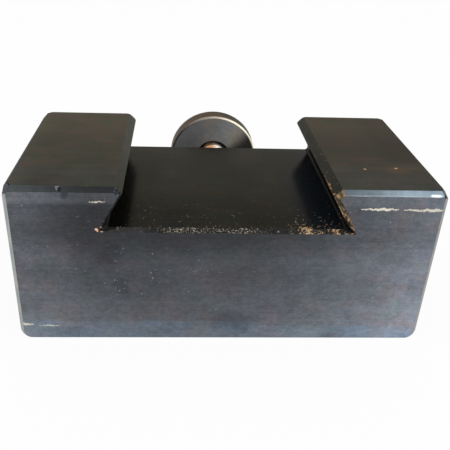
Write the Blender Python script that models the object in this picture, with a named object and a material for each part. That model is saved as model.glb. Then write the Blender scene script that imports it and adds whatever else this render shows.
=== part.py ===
"""Quick change tool holder with a dovetail, a height stud and four clamp screws.

The holder lies on its tool slot side with the dovetail up. X runs along the tool slot,
Y runs from the holder's underside to its top, and Z is the height as it lies.
Every size below is in metres.
"""
from math import cos, pi, radians, sin, sqrt, tan

import bmesh
import bpy
from mathutils import Vector

MM = 0.001

# Holder body, one milled block
BODY_LENGTH = 69.85 * MM
BODY_HEIGHT = 36.4 * MM
BODY_DEPTH = 28.9 * MM
EDGE_CHAMFER = 0.76 * MM
FOOT_RADIUS = 1.8 * MM
FOOT_CHAMFER = 0.15 * MM
FOOT_ARC_STEPS = 6

# Dovetail slot, open at both ends. Its width is taken to the sharp corners, which the
# cutter leaves as upright lands a little way in.
DOVETAIL_DEPTH = 7.1 * MM
DOVETAIL_FLOOR_WIDTH = 39.9 * MM
DOVETAIL_ANGLE = radians(60)
DOVETAIL_LAND_INSET = 0.55 * MM
LIP_CHAMFER = 1.25 * MM

# Tool slot, open towards the foot and at both ends
TOOL_SEAT_THICKNESS = 9.5 * MM
TOOL_SLOT_HEIGHT = 13.5 * MM
TOOL_SLOT_DEPTH = 14.0 * MM
SLOT_CHAMFER = 0.4 * MM
SLOT_CORNER_RADIUS = 0.5 * MM
SLOT_ARC_STEPS = 4

# Clamp screws, cup point socket set screws
SCREW_COUNT = 4
SCREW_FROM_END = 7.025 * MM
SCREW_FROM_FOOT = 6.0 * MM
SCREW_DIAMETER = 7.94 * MM
SCREW_LENGTH = 15.875 * MM
SCREW_CHAMFER = 0.8 * MM
SCREW_TIP_RECESS = 0.5 * MM
SCREW_SOCKET_ACROSS_FLATS = 3.97 * MM
SCREW_SOCKET_DEPTH = 4.0 * MM
SCREW_CUP_DIAMETER = 4.0 * MM
SCREW_CUP_ANGLE = radians(118)
SCREW_TIP_DIAMETER = 4.8 * MM

# Height stud, screwed into the top of the body
STUD_DIAMETER = 6.35 * MM
STUD_BELOW_FLOOR = 5.6 * MM
STUD_ENGAGEMENT = 10.0 * MM
STUD_CHAMFER = 0.6 * MM
STUD_SPARE = 4.83 * MM
DRILL_POINT_ANGLE = radians(118)

# Height nut, a plain flange with a knurled hub
NUT_GAP = 7.5 * MM
FLANGE_DIAMETER = 19.05 * MM
FLANGE_THICKNESS = 4.1 * MM
FLANGE_CHAMFER = 0.3 * MM
HUB_DIAMETER = 13.0 * MM
HUB_LENGTH = 5.5 * MM
HUB_CHAMFER = 0.5 * MM
KNURL_DEPTH = 0.5 * MM
KNURL_FLUTES = 36
BORE_CHAMFER = 0.45 * MM

# Lock nut, a thin hexagon nut
LOCK_NUT_ACROSS_FLATS = 11.11 * MM
LOCK_NUT_THICKNESS = 3.97 * MM
LOCK_NUT_FACE_SHARE = 0.95
HEX_CHAMFER_ANGLE = radians(30)

# Clearance between pieces that touch, and mouths of tapped holes
CLEARANCE = 0.3 * MM
HOLE_CHAMFER = 0.5 * MM
CUT_MARGIN = 1.0 * MM

# Sides of a round piece; a multiple of six, so that a hexagon keeps its corners
ROUND_SIDES = 48
NUT_SIDES = 4 * KNURL_FLUTES

# A cone's point is a tiny flat, this share of its base across
POINT_SHARE = 0.02

# Edges turning by more than this stay sharp in the smooth shading
SHARP_EDGE = radians(25)

# Places worked out from the sizes
DOVETAIL_FLOOR_Z = BODY_DEPTH - DOVETAIL_DEPTH
STUD_Z = DOVETAIL_FLOOR_Z - STUD_BELOW_FLOOR
SLOT_CEILING_Y = TOOL_SEAT_THICKNESS + TOOL_SLOT_HEIGHT
NUT_Y = BODY_HEIGHT + NUT_GAP
LOCK_NUT_Y = NUT_Y + FLANGE_THICKNESS + HUB_LENGTH + CLEARANCE
STUD_TOP_Y = LOCK_NUT_Y + LOCK_NUT_THICKNESS + STUD_SPARE
STUD_BOTTOM_Y = BODY_HEIGHT - STUD_ENGAGEMENT
SCREW_TIP_Y = SLOT_CEILING_Y + SCREW_TIP_RECESS


def clear_scene():
    for old in list(bpy.data.objects):
        bpy.data.objects.remove(old, do_unlink=True)


def metal(name, colour, roughness, metallic):
    material = bpy.data.materials.new(name)
    material.use_nodes = True
    shader = material.node_tree.nodes["Principled BSDF"]
    shader.inputs["Base Color"].default_value = (*colour, 1.0)
    shader.inputs["Roughness"].default_value = roughness
    shader.inputs["Metallic"].default_value = metallic
    return material


def skin(rings, loop=False):
    """Mesh whose faces join one ring of points to the next.

    A loop joins the last ring to the first, as round a bore. Otherwise both ends are
    capped.
    """
    shape = bmesh.new()
    rows = [[shape.verts.new(point) for point in ring] for ring in rings]
    pairs = list(zip(rows, rows[1:]))
    if loop:
        pairs.append((rows[-1], rows[0]))
    for low, high in pairs:
        for i in range(len(low)):
            j = (i + 1) % len(low)
            shape.faces.new((low[i], low[j], high[j], high[i]))
    if not loop:
        shape.faces.new(reversed(rows[0]))
        shape.faces.new(rows[-1])
    bmesh.ops.recalc_face_normals(shape, faces=shape.faces)
    return shape


def add_object(name, shape, parent, location, material=None, along_y=False):
    """Object made from a shape. With along_y, its own Z axis points along +Y."""
    mesh = bpy.data.meshes.new(name)
    shape.to_mesh(mesh)
    shape.free()
    mesh.shade_smooth()
    mesh.set_sharp_from_angle(angle=SHARP_EDGE)
    if material:
        mesh.materials.append(material)
    piece = bpy.data.objects.new(name, mesh)
    bpy.context.collection.objects.link(piece)
    piece.parent = parent
    piece.location = location
    if along_y:
        piece.rotation_euler = (-pi / 2, 0, 0)
    return piece


def cut(piece, cutter):
    """Take the cutter's shape out of the piece, and keep the cutter as a guide."""
    cutter.hide_render = True
    cutter.display_type = "WIRE"
    hole = piece.modifiers.new(cutter.name, "BOOLEAN")
    hole.operation = "DIFFERENCE"
    hole.solver = "EXACT"
    hole.object = cutter


# Rings of a turned piece; each takes a height along the axis

def round_ring(radius, height, sides=ROUND_SIDES):
    turns = [2 * pi * i / sides for i in range(sides)]
    return [(radius * cos(turn), radius * sin(turn), height) for turn in turns]


def hex_radius(turn, across_flats):
    """Distance from the centre to a hexagon's side, in the direction of turn."""
    from_flat = (turn % (pi / 3)) - pi / 6
    return across_flats / 2 / cos(from_flat)


def hex_ring(across_flats, height, slope=0.0, start_radius=0.0, sides=ROUND_SIDES):
    """Hexagon ring. With a slope, each point moves by how far it is past start_radius."""
    ring = []
    for i in range(sides):
        turn = 2 * pi * i / sides
        radius = hex_radius(turn, across_flats)
        rise = slope * (radius - start_radius)
        ring.append((radius * cos(turn), radius * sin(turn), height + rise))
    return ring


def knurl_ring(radius, height, largest):
    """Straight knurl: flat crests and flat roots, no part of it past the largest radius."""
    ring = []
    for i in range(NUT_SIDES):
        turn = 2 * pi * i / NUT_SIDES
        depth = KNURL_DEPTH if i % 4 >= 2 else 0.0
        reach = min(radius - depth, largest)
        ring.append((reach * cos(turn), reach * sin(turn), height))
    return ring


# Holder body

def inset_corner(before, corner, after, distance):
    """Corner of an outline, moved inwards so that both its edges move by distance."""
    first = (corner - before).normalized()
    second = (after - corner).normalized()
    normal_a = Vector((-first.y, first.x))
    normal_b = Vector((-second.y, second.x))
    middle = normal_a + normal_b
    return corner + middle * (distance / (1 + normal_a.dot(normal_b)))


def half_outline():
    """Right half of the section across the dovetail, from the foot up and inwards.

    Each entry is a point, the chamfer there, and the centre of its arc if it has one.
    """
    half_length = BODY_LENGTH / 2
    half_floor = DOVETAIL_FLOOR_WIDTH / 2
    half_mouth = half_floor - (DOVETAIL_DEPTH - LIP_CHAMFER) / tan(DOVETAIL_ANGLE)
    land = half_floor - DOVETAIL_LAND_INSET
    land_height = DOVETAIL_LAND_INSET * tan(DOVETAIL_ANGLE)
    centre = Vector((half_length - FOOT_RADIUS, FOOT_RADIUS))
    entries = []
    for i in range(FOOT_ARC_STEPS + 1):
        share = i / FOOT_ARC_STEPS
        turn = pi / 2 * (share - 1)
        point = centre + FOOT_RADIUS * Vector((cos(turn), sin(turn)))
        chamfer = FOOT_CHAMFER + (EDGE_CHAMFER - FOOT_CHAMFER) * share
        entries.append((point, chamfer, centre))
    corners = [
        (half_length, BODY_DEPTH - EDGE_CHAMFER),
        (half_length - EDGE_CHAMFER, BODY_DEPTH),
        (half_mouth + LIP_CHAMFER, BODY_DEPTH),
        (half_mouth, BODY_DEPTH - LIP_CHAMFER),
        (land, DOVETAIL_FLOOR_Z + land_height),
        (land, DOVETAIL_FLOOR_Z),
    ]
    for corner in corners:
        entries.append((Vector(corner), EDGE_CHAMFER, None))
    return entries


def body_shape():
    right = half_outline()
    left = []
    for point, chamfer, centre in reversed(right):
        mirrored = Vector((-centre.x, centre.y)) if centre else None
        left.append((Vector((-point.x, point.y)), chamfer, mirrored))
    outline = right + left
    rings = [[], [], [], []]
    for i, (point, chamfer, centre) in enumerate(outline):
        if centre:
            inner = point + (centre - point).normalized() * chamfer
        else:
            before = outline[i - 1][0]
            after = outline[(i + 1) % len(outline)][0]
            inner = inset_corner(before, point, after, chamfer)
        rings[0].append((inner.x, 0, inner.y))
        rings[1].append((point.x, chamfer, point.y))
        rings[2].append((point.x, BODY_HEIGHT - chamfer, point.y))
        rings[3].append((inner.x, BODY_HEIGHT, inner.y))
    return skin(rings)


def slot_section(grow, x):
    """Section of the tool slot's cutter, larger all round by grow, at a place along X."""
    low = TOOL_SEAT_THICKNESS - grow
    high = SLOT_CEILING_Y + grow
    top = TOOL_SLOT_DEPTH + grow
    radius = SLOT_CORNER_RADIUS
    bottom = -CUT_MARGIN
    flare = SLOT_CHAMFER - bottom
    points = [(low - flare, bottom), (high + flare, bottom), (high, SLOT_CHAMFER)]
    for middle, start in ((high - radius, 0), (low + radius, pi / 2)):
        for i in range(SLOT_ARC_STEPS + 1):
            turn = start + pi / 2 * i / SLOT_ARC_STEPS
            points.append((middle + radius * cos(turn), top - radius + radius * sin(turn)))
    points.append((low, SLOT_CHAMFER))
    return [(x, y, z) for y, z in points]


def slot_shape():
    """Tool slot's cutter, widened at both ends so that it leaves a chamfer there."""
    straight = BODY_LENGTH / 2 - SLOT_CHAMFER
    past = BODY_LENGTH / 2 + CUT_MARGIN
    flare = SLOT_CHAMFER + CUT_MARGIN
    return skin([
        slot_section(flare, -past),
        slot_section(0, -straight),
        slot_section(0, straight),
        slot_section(flare, past),
    ])


def hole_shape(radius, bottom, top, point_angle=None):
    """Cutter for a hole up to the face at height top, with a chamfered mouth.

    A drilled hole that ends inside the block has the drill's point as its bottom.
    """
    rings = []
    if point_angle:
        point = radius * POINT_SHARE
        point_length = (radius - point) / tan(point_angle / 2)
        rings.append(round_ring(point, bottom - point_length))
    rings.append(round_ring(radius, bottom))
    rings.append(round_ring(radius, top - HOLE_CHAMFER))
    rings.append(round_ring(radius + HOLE_CHAMFER + CUT_MARGIN, top + CUT_MARGIN))
    return skin(rings)


def screw_places():
    """Places along X, evenly spaced between the screws nearest the body's ends."""
    last = BODY_LENGTH / 2 - SCREW_FROM_END
    return [last * (2 * i / (SCREW_COUNT - 1) - 1) for i in range(SCREW_COUNT)]


def make_body(datum):
    blued = metal("blued_steel", (0.075, 0.078, 0.082), 0.45, 0.8)
    body = add_object("holder_body", body_shape(), datum, (0, 0, 0), blued)
    cut(body, add_object("tool_slot_cutter", slot_shape(), datum, (0, 0, 0)))
    screw_hole = SCREW_DIAMETER / 2 + CLEARANCE
    for number, x in enumerate(screw_places(), start=1):
        shape = hole_shape(screw_hole, SLOT_CEILING_Y - CUT_MARGIN, BODY_HEIGHT)
        place = (x, 0, SCREW_FROM_FOOT)
        cut(body, add_object(f"screw_hole_cutter_{number}", shape, datum, place, along_y=True))
    stud_hole = STUD_DIAMETER / 2 + CLEARANCE
    shape = hole_shape(stud_hole, STUD_BOTTOM_Y - CLEARANCE, BODY_HEIGHT, DRILL_POINT_ANGLE)
    cut(body, add_object("stud_hole_cutter", shape, datum, (0, 0, STUD_Z), along_y=True))


# Height adjustment

def make_stud(datum):
    length = STUD_TOP_Y - STUD_BOTTOM_Y
    radius = STUD_DIAMETER / 2
    shape = skin([
        round_ring(radius - STUD_CHAMFER, 0),
        round_ring(radius, STUD_CHAMFER),
        round_ring(radius, length - STUD_CHAMFER),
        round_ring(radius - STUD_CHAMFER, length),
    ])
    bright = metal("worn_bright_steel", (0.42, 0.38, 0.33), 0.38, 1.0)
    add_object("height_stud", shape, datum, (0, STUD_BOTTOM_Y, STUD_Z), bright, along_y=True)


def make_height_nut(datum):
    """Height nut, turned from one bar: bore, flange and knurled hub."""
    bore = STUD_DIAMETER / 2 + CLEARANCE
    mouth = bore + BORE_CHAMFER
    rim = FLANGE_DIAMETER / 2
    hub = HUB_DIAMETER / 2
    length = FLANGE_THICKNESS + HUB_LENGTH
    shape = skin([
        round_ring(bore, BORE_CHAMFER, NUT_SIDES),
        round_ring(mouth, 0, NUT_SIDES),
        round_ring(rim - FLANGE_CHAMFER, 0, NUT_SIDES),
        round_ring(rim, FLANGE_CHAMFER, NUT_SIDES),
        round_ring(rim, FLANGE_THICKNESS - FLANGE_CHAMFER, NUT_SIDES),
        round_ring(rim - FLANGE_CHAMFER, FLANGE_THICKNESS, NUT_SIDES),
        knurl_ring(hub, FLANGE_THICKNESS, hub),
        knurl_ring(hub, length - HUB_CHAMFER, hub),
        knurl_ring(hub, length, hub - HUB_CHAMFER),
        round_ring(mouth, length, NUT_SIDES),
        round_ring(bore, length - BORE_CHAMFER, NUT_SIDES),
    ], loop=True)
    turned = metal("turned_blackened_steel", (0.16, 0.14, 0.125), 0.42, 0.9)
    add_object("height_nut", shape, datum, (0, NUT_Y, STUD_Z), turned, along_y=True)


def make_lock_nut(datum):
    """Lock nut, with the curved chamfers that a cone leaves on a hexagon."""
    bore = STUD_DIAMETER / 2 + CLEARANCE
    mouth = bore + BORE_CHAMFER
    face = LOCK_NUT_ACROSS_FLATS / 2 * LOCK_NUT_FACE_SHARE
    slope = tan(HEX_CHAMFER_ANGLE)
    top = LOCK_NUT_THICKNESS
    shape = skin([
        round_ring(bore, BORE_CHAMFER),
        round_ring(mouth, 0),
        round_ring(face, 0),
        hex_ring(LOCK_NUT_ACROSS_FLATS, 0, slope, face),
        hex_ring(LOCK_NUT_ACROSS_FLATS, top, -slope, face),
        round_ring(face, top),
        round_ring(mouth, top),
        round_ring(bore, top - BORE_CHAMFER),
    ], loop=True)
    plain = metal("plain_steel", (0.30, 0.29, 0.28), 0.40, 1.0)
    add_object("lock_nut", shape, datum, (0, LOCK_NUT_Y, STUD_Z), plain, along_y=True)


# Clamp screws

def screw_shape():
    """Set screw from its cup point up to its hexagon socket."""
    outer = SCREW_DIAMETER / 2
    tip = SCREW_TIP_DIAMETER / 2
    cup = SCREW_CUP_DIAMETER / 2
    centre = cup * POINT_SHARE
    cup_depth = (cup - centre) / tan(SCREW_CUP_ANGLE / 2)
    tip_length = outer - tip
    flats = SCREW_SOCKET_ACROSS_FLATS
    corner = flats / sqrt(3)
    top = SCREW_LENGTH
    floor = top - SCREW_SOCKET_DEPTH
    socket_point = flats / 2 / tan(DRILL_POINT_ANGLE / 2)
    return skin([
        round_ring(centre, cup_depth),
        round_ring(cup, 0),
        round_ring(tip, 0),
        round_ring(outer, tip_length),
        round_ring(outer, top - SCREW_CHAMFER),
        round_ring(outer - SCREW_CHAMFER, top),
        round_ring(corner + CLEARANCE / 2, top),
        hex_ring(flats, top - CLEARANCE, 1.0, corner),
        hex_ring(flats, floor),
        round_ring(centre, floor - socket_point),
    ])


def make_screws(datum):
    black = metal("black_screw_steel", (0.05, 0.05, 0.052), 0.40, 0.85)
    for number, x in enumerate(screw_places(), start=1):
        place = (x, SCREW_TIP_Y, SCREW_FROM_FOOT)
        add_object(f"clamp_screw_{number}", screw_shape(), datum, place, black, along_y=True)


def main():
    clear_scene()
    datum = bpy.data.objects.new("underside_datum", None)
    datum.location = (0, -STUD_TOP_Y / 2, 0)
    bpy.context.collection.objects.link(datum)
    make_body(datum)
    make_stud(datum)
    make_height_nut(datum)
    make_lock_nut(datum)
    make_screws(datum)


main()
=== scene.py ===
"""Looks of a quick change tool holder, lying on its tool slot side with the dovetail up."""
from math import cos, pi, radians, sin

import bpy
from mathutils import Matrix, Vector


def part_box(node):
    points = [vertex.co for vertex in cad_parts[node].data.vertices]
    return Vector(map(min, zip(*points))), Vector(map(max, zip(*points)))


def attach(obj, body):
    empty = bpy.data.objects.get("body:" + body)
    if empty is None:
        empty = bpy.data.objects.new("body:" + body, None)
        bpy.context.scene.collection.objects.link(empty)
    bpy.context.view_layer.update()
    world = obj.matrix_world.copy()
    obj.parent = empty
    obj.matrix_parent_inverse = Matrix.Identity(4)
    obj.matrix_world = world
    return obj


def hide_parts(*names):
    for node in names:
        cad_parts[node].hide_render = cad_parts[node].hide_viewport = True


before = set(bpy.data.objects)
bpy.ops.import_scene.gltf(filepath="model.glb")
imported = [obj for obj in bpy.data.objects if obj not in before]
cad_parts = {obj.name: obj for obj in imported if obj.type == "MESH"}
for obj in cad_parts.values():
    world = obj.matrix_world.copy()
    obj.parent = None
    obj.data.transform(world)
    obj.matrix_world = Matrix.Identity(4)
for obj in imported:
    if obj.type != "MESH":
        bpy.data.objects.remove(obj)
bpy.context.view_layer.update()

MM = 0.001
PER_MM = 1000.0

# Holder body, from the frame, in metres
BODY_LOW, BODY_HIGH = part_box("holder_body")
NEAR_Y = BODY_LOW.y
EAR_Z = BODY_HIGH.z
DOVETAIL_DEPTH = 7.1 * MM
FLOOR_Z = EAR_Z - DOVETAIL_DEPTH
DOVETAIL_HALF_WIDTH = 20.8 * MM
DOVETAIL_LAND = 19.4 * MM
CORNER_FILLET = 0.4 * MM
BACK_CORNER_CUT = 2.3 * MM
BACK_CORNER_ROUNDING = 0.9 * MM
BACK_LIP_ROUNDING = 0.6 * MM
# Where the lips' corners at the back are found: from the middle, from the back face, and above
BACK_LIP_SIDE = (16.4 * MM, 18.0 * MM)
BACK_LIP_REACH = (0.6 * MM, 0.9 * MM)
BACK_LIP_LOW = 27.6 * MM
CHAMFER_ZONE = 1.3 * MM
MOUTH_CHAMFER = 0.76 * MM

# Hand filing of the dovetail's mouth: the side, the heights between which its outline on the near
# face was filed, and how far that went along X and Z, all in millimetres
FILED_MOUTH = [
    (-1, 22.0, 28.5, 0.4, 0.0),
    (-1, 20.5, 21.8, -0.5, 0.2),
    (1, 20.5, 21.8, 0.75, 0.2),
]
MOUTH_SIDE = (17.0 * MM, 20.4 * MM)
# Filed corners of the ears: the way that the flat faces, and its depth below the sharp corner
FILED_EAR_CORNERS = [
    (Vector((-0.70, -0.40, 0.60)).normalized(), 1.2 * MM),
    (Vector((0.70, -0.20, 0.65)).normalized(), 1.0 * MM),
]
FILED_ROUNDING = 0.18 * MM

# Height stud and its nuts, on one axis along Y
STUD_LOW, STUD_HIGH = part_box("height_stud")
STUD_CENTRE = (STUD_LOW + STUD_HIGH) / 2
NUT_LOW, NUT_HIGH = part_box("height_nut")
FLANGE_RADIUS = (NUT_HIGH.x - NUT_LOW.x) / 2
FLANGE_THICKNESS = 4.1 * MM
FLANGE_CHAMFER = 0.3 * MM
FLANGE_ROUNDING = 0.12 * MM
BORE_MOUTH_RADIUS = 4.0 * MM

# Threads: pitch and depth
STUD_PITCH = 25.4 / 28 * MM
SCREW_PITCH = 25.4 / 18 * MM
THREAD_DEPTH_SHARE = 0.6
THREAD_STEPS = 48
# How far the threaded bar stands outside the piece that it trims, tried in turn
THREAD_SPARES = (0.010 * MM, 0.014 * MM, 0.019 * MM, 0.025 * MM)
SCREW_COUNT = 4
MODELLED_SCREW = 2

# Broken edges
BODY_EDGE = 0.14 * MM
NUT_EDGE = 0.08 * MM
SHARP_ANGLE = radians(28)

# Copies of the CAD's nodes: which corners are one, and which faces are one
SAME_PLACE = 0.002 * MM
SAME_PLANE_ANGLE = radians(0.3)
# How near a point lies to a face that it is said to be on, on the body and on the height nut
TOUCHING = 0.1 * MM
NUT_TOUCHING = 0.02 * MM
# The part of a face's normal that lies along an axis when the face looks that way
STRAIGHT = 0.99

# The photograph's camera, solved from the body's straight edges
PHOTO_SIZE = 450
FOCAL_PX = 606.2
OPTICAL_AXIS_PX = (205.75, 228.14)
CAMERA_YAW = 0.056
CAMERA_PITCH = 0.5068
CAMERA_ROLL = 0.0376
CAMERA_FROM_NEAR_EDGE = Vector((-8.17, -84.02, 68.91)) * MM
SENSOR_MM = 36.0


# Shader maths

class Value:
    """One output of a shader node. Operators on it add Math nodes."""

    def __init__(self, shading, socket):
        self.shading = shading
        self.socket = socket

    def __add__(self, other):
        return self.shading.math("ADD", self, other)

    def __radd__(self, other):
        return self.shading.math("ADD", other, self)

    def __sub__(self, other):
        return self.shading.math("SUBTRACT", self, other)

    def __rsub__(self, other):
        return self.shading.math("SUBTRACT", other, self)

    def __mul__(self, other):
        return self.shading.math("MULTIPLY", self, other)

    def __rmul__(self, other):
        return self.shading.math("MULTIPLY", other, self)

    def __abs__(self):
        return self.shading.math("ABSOLUTE", self)

    def __pow__(self, other):
        return self.shading.math("POWER", self, other)

    def most(self, other):
        return self.shading.math("MAXIMUM", self, other)

    def least(self, other):
        return self.shading.math("MINIMUM", self, other)


def strongest(masks):
    """The highest of several masks, point by point."""
    highest = masks[0]
    for mask in masks[1:]:
        highest = highest.most(mask)
    return highest


class Shading:
    """The nodes of one material or world."""

    def __init__(self, owner):
        self.owner = owner
        owner.use_nodes = True
        self.nodes = owner.node_tree.nodes
        self.links = owner.node_tree.links

    def node(self, kind, settings=None, inputs=None, output=0):
        """Add a node: its settings first, then the values or links of its sockets."""
        added = self.nodes.new(kind)
        for name, value in (settings or {}).items():
            setattr(added, name, value)
        for name, value in (inputs or {}).items():
            self.feed(added.inputs[name], value)
        return Value(self, added.outputs[output])

    def feed(self, socket, value):
        if isinstance(value, Value):
            self.links.new(value.socket, socket)
        else:
            socket.default_value = value

    def math(self, operation, first, second=0.0):
        return self.node("ShaderNodeMath", {"operation": operation}, {0: first, 1: second})


class Finish(Shading):
    """The material of one zone or piece. Its lengths are in millimetres."""

    def __init__(self, name, gloss=0.5, glance=(1.0, 1.0, 1.0, 1.0)):
        super().__init__(bpy.data.materials.new(name))
        self.shader = self.nodes["Principled BSDF"]
        self.feed(self.shader.inputs["Specular IOR Level"], gloss)
        self.feed(self.shader.inputs["Specular Tint"], glance)
        self.place = self.scaled(self.node("ShaderNodeTexCoord", output="Object"), (PER_MM,) * 3)
        self.x, self.y, self.z = (
            self.node("ShaderNodeSeparateXYZ", inputs={0: self.place}, output=axis) for axis in "XYZ")

    def back(self):
        """Distance from the body's near face."""
        return self.y - NEAR_Y * PER_MM

    def on_right(self):
        """1 on the body's right side and 0 on its left."""
        return self.rise(self.x, -5.0, 5.0)

    def length(self, first, second):
        """Length across two distances at right angles."""
        return self.math("SQRT", first * first + second * second)

    def scaled(self, vector, factors):
        return self.node("ShaderNodeVectorMath", {"operation": "MULTIPLY"}, {0: vector, 1: factors})

    def moved(self, vector, offset):
        return self.node("ShaderNodeVectorMath", {"operation": "ADD"}, {0: vector, 1: offset})

    def noise(self, per_mm, detail=3.0, roughness=0.55, seed=0.0):
        """Noise from 0 to 1, with its own number of waves per millimetre along X, Y and Z."""
        where = self.moved(self.scaled(self.place, per_mm), (seed, seed * 1.7, seed * 2.3))
        sizes = {"Vector": where, "Scale": 1.0, "Detail": detail, "Roughness": roughness}
        return self.node("ShaderNodeTexNoise", {"noise_dimensions": "3D"}, sizes)

    def rise(self, value, low, high):
        """0 below low, 1 above high, with a smooth step between."""
        settings = {"interpolation_type": "SMOOTHSTEP", "clamp": True}
        return self.node("ShaderNodeMapRange", settings, {"Value": value, "From Min": low, "From Max": high})

    def window(self, value, low, high, soft):
        """1 between low and high, with soft ends."""
        return self.rise(value, low - soft, low + soft) * (1 - self.rise(value, high - soft, high + soft))

    def mix(self, first, second, share):
        inputs = {0: share, 6: first, 7: second}
        return self.node("ShaderNodeMix", {"data_type": "RGBA"}, inputs, output=2)

    def shade(self, level, hue):
        """Colour of a hue, as bright as level on the picture's scale of 0 to 255."""
        linear = (level * (1 / 255)) ** 2.2
        direction = hue if isinstance(hue, Value) else hue[:3]
        return self.node("ShaderNodeVectorMath", {"operation": "SCALE"}, {0: direction, "Scale": linear})

    def close(self, colour, roughness, metallic, height=None, relief=0.01):
        """Feed the shader. Relief is the height of the bump."""
        self.feed(self.shader.inputs["Base Color"], colour)
        self.feed(self.shader.inputs["Roughness"], roughness)
        self.feed(self.shader.inputs["Metallic"], metallic)
        if height is not None:
            bump = {"Strength": 1.0, "Distance": relief * MM, "Height": height}
            self.feed(self.shader.inputs["Normal"], self.node("ShaderNodeBump", inputs=bump))
        return self.owner


def srgb(red, green, blue):
    """Colour as seen, from 0 to 255, made linear for the shader."""
    seen = [channel / 255 for channel in (red, green, blue)]
    linear = [c / 12.92 if c <= 0.04045 else ((c + 0.055) / 1.055) ** 2.4 for c in seen]
    return (*linear, 1.0)


def tint(red, green, blue):
    """Hue of a colour as seen, as a linear colour whose green is 1."""
    linear = srgb(red, green, blue)
    return tuple(channel / linear[1] for channel in linear[:3]) + (1.0,)


# Finishes of the holder body, with every length in millimetres

# Where the near face is rubbed through: height of the mark, its two ends along X, where it is
# thickest, half its greatest width, and how far the blue is gone
RUBS = [
    (25.9, 21.0, 27.0, 25.0, 0.20, 1.0),
    (25.8, 27.9, 34.4, 33.0, 0.24, 0.85),
    (26.6, -21.6, -19.2, -20.6, 0.10, 0.9),
    (2.7, -31.5, -28.0, -29.8, 0.11, 0.8),
    (2.95, -34.6, -32.4, -34.3, 0.26, 0.9),
]
# Where pale specks gather on it: x and z of the middle, half width, half height
SPECKED = [
    (-17.0, 11.0, 3.5, 5.0),
    (-4.0, 15.0, 4.5, 3.0),
    (-11.0, 13.0, 4.0, 4.0),
    (-25.0, 14.0, 5.0, 2.5),
]
# Darker, bluer stains on it: x and z of the middle, half width, half height, depth
STAINS = [
    (-16.9, 10.8, 1.8, 3.4, 0.16),
    (-18.9, 17.2, 3.2, 3.0, 0.14),
    (1.6, 3.8, 6.5, 3.4, 0.12),
    (-25.4, 27.75, 0.8, 1.0, 0.30),
]
# Chip at the mouth's left corner: x and z of its middle, radius, and how far it leans to the left
CHIP = (-20.65, 21.65, 0.38)
CHIP_LEAN = 0.5
# Rust specks on the right ear: x, distance from the near face, radius
EAR_SPECKS = [(23.5, 9.0, 0.32), (29.0, 9.5, 0.34)]
# Brown haze round them: x, distance from the near face, half width, half length
EAR_HAZE = (27.0, 9.0, 7.0, 2.5)
# Nick in the left ear's chamfer, a shallow dent painted dark with the shade in it, and the rubbed mark
# beside it: x and z of the middle, radius
NICK = (-26.05, 28.50, 0.36)
NICK_RUB = (-26.35, 28.68, 0.42)
# Spans of wear along the mouth's lower chamfer: two ends along X, and how soft they are
MOUTH_PLAIN_END = (-14.0, -12.0)
MOUTH_LEFT_CORNER = (-20.9, -19.8, 0.25)
MOUTH_DENSE = (-10.6, 5.2, 1.4)
MOUTH_HEAVY = (11.7, 21.5, 0.6)
MOUTH_CLUSTERS = [(11.7, 14.0, 0.4), (17.0, 18.2, 0.3)]
MOUTH_TIP = (17.0, 20.6, 0.4)
# Where painted shade narrows the chamfer to a point at the right corner: X by the floor, Z up the slope
MOUTH_POINT_X = 20.9
MOUTH_POINT_Z = 20.6
# Tan cluster on the floor's near edge: two ends along X, and how soft they are
FLOOR_CLUSTER = (11.9, 13.8, 0.6)
# Blued surfaces mirror little at a glancing angle
OXIDE_GLOSS = 0.05
OXIDE_GLANCE = (0.60, 0.59, 0.56, 1.0)
EDGE_GLANCE = (0.35, 0.35, 0.34, 1.0)


def spot(finish, across, along, middle_across, middle_along, radius):
    """Small round mark with a ragged edge."""
    distance = finish.length(across - middle_across, along - middle_along)
    ragged = distance + 1.1 * radius * (finish.noise((3.2, 3.2, 3.2), seed=14.0) - 0.5)
    return 1 - finish.rise(ragged, 0.55 * radius, radius)


def stain(finish, x, z, half_width, half_height):
    """Soft uneven mark, 1 in its middle."""
    from_middle = finish.length((finish.x - x) * (1 / half_width), (finish.z - z) * (1 / half_height))
    uneven = (finish.noise((1.0, 1.0, 1.0), detail=3.0, seed=31.0) - 0.5) * 0.9
    return 1 - finish.rise(from_middle + uneven, 0.2, 1.0)


def haze_on_ear(finish, back, x, from_near, half_width, half_length):
    """Soft oval mark on an ear, 1 in its middle."""
    from_middle = finish.length((finish.x - x) * (1 / half_width), (back - from_near) * (1 / half_length))
    return 1 - finish.rise(from_middle, 0.2, 1.0)


def rubs(finish):
    """Jagged pale marks, rubbed through to bare metal along X."""
    wander = (finish.noise((1.3, 0.0, 0.0), detail=4.0, roughness=0.6, seed=19.0) - 0.5) * 0.75
    fatness = 0.5 + 1.2 * finish.noise((1.9, 0.0, 0.0), detail=3.0, seed=21.0)
    ragged = (finish.noise((4.5, 0.0, 7.0), detail=3.0, roughness=0.65, seed=25.0) - 0.5) * 0.5
    gaps = finish.rise(finish.noise((1.3, 0.0, 0.8), detail=2.0, seed=26.0), 0.26, 0.32)
    marks = []
    for height, start, end, thickest, half, strength in RUBS:
        to_start = finish.rise(finish.x, start, thickest)
        to_end = 1 - finish.rise(finish.x, thickest, end)
        half_here = (to_start * to_end * 0.7 + 0.3) * fatness * half
        off = abs(finish.z - height - wander) - half_here + ragged
        mark = (1 - finish.rise(off, -0.06, 0.06)) * finish.window(finish.x, start, end, 0.15)
        marks.append(mark * (gaps * strength))
    return strongest(marks)


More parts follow.
